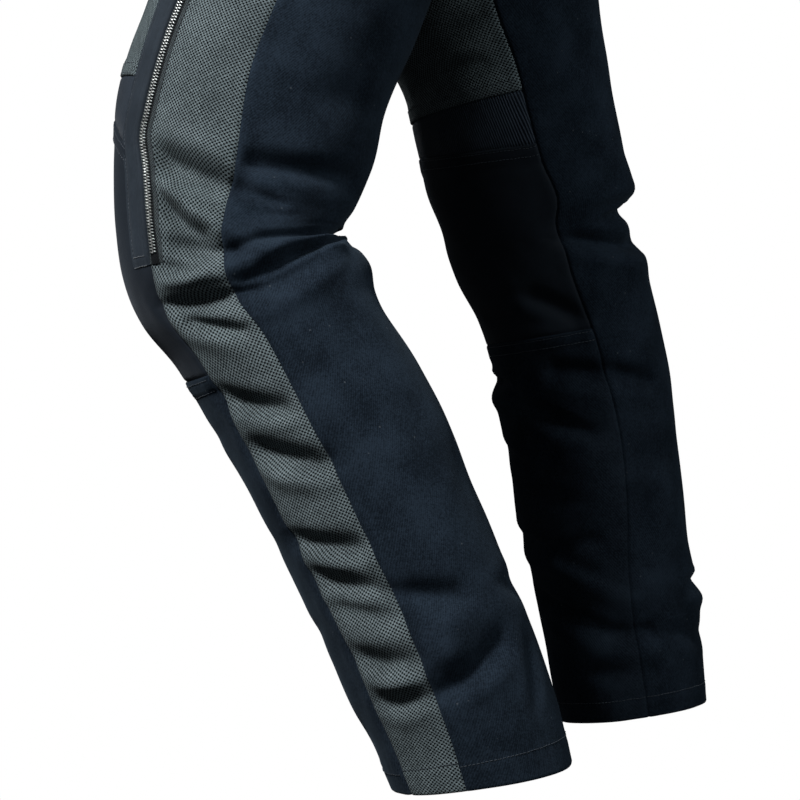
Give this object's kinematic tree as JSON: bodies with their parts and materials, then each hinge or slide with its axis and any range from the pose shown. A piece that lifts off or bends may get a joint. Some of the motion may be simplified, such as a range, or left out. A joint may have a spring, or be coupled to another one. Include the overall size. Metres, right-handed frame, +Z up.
{
  "type": "motorcycle trousers",
  "caption": "Hollow worn motorcycle trousers in dark napped cloth with coarse-mesh sides, long vent zips, ribbed and smooth knee panels, one leg stepping forward.",
  "frame": {"origin": "middle of the waist opening, level with the top edge of the waistband", "axes": "+Z up out of the waist opening, -Y the garment's front, +X the wearer's left leg"},
  "size_m": [0.5374, 0.4727, 1.0076],
  "materials": {
    "nap_cloth": "matt brushed nap",
    "coarse_mesh": "matt open mesh",
    "ribbed_stretch": "matt diagonal rib",
    "smooth_shell": "matt smooth weave",
    "facing_cloth": "matt fine weave",
    "zip_metal": "bright nickel",
    "gun_metal": "dark satin"
  },
  "bodies": {
    "trousers": {"back_panel_l": "nap_cloth", "back_panel_r": "nap_cloth", "shin_panel_l": "nap_cloth", "shin_panel_r": "nap_cloth", "waistband": "nap_cloth", "fly_flap": "nap_cloth", "side_mesh_l": "coarse_mesh", "side_mesh_r": "coarse_mesh", "front_thigh_l": "coarse_mesh", "front_thigh_r": "coarse_mesh", "stretch_panel_l": "ribbed_stretch", "stretch_panel_r": "ribbed_stretch", "knee_panel_l": "smooth_shell", "knee_panel_r": "smooth_shell", "zip_facing_l": "facing_cloth", "zip_facing_r": "facing_cloth", "waist_tab": "facing_cloth", "vent_zip_l": "zip_metal", "vent_zip_r": "zip_metal", "zip_slider_l": "gun_metal", "zip_slider_r": "gun_metal", "waist_button": "gun_metal"},
    "pull_l": {"zip_pull_l": "gun_metal"},
    "pull_r": {"zip_pull_r": "gun_metal"}
  },
  "joints": [
    {"name": "pull_l_swing", "type": "hinge", "parent": "trousers", "child": "pull_l", "pos_m": [0.16013, -0.0747, -0.15672], "axis": [-0.6034, -0.7948, 0.0645], "range_deg": [0, 150]},
    {"name": "pull_r_swing", "type": "hinge", "parent": "trousers", "child": "pull_r", "pos_m": [-0.16025, -0.06881, -0.1576], "axis": [-0.5598, 0.7936, 0.2386], "range_deg": [0, 150]}
  ]
}
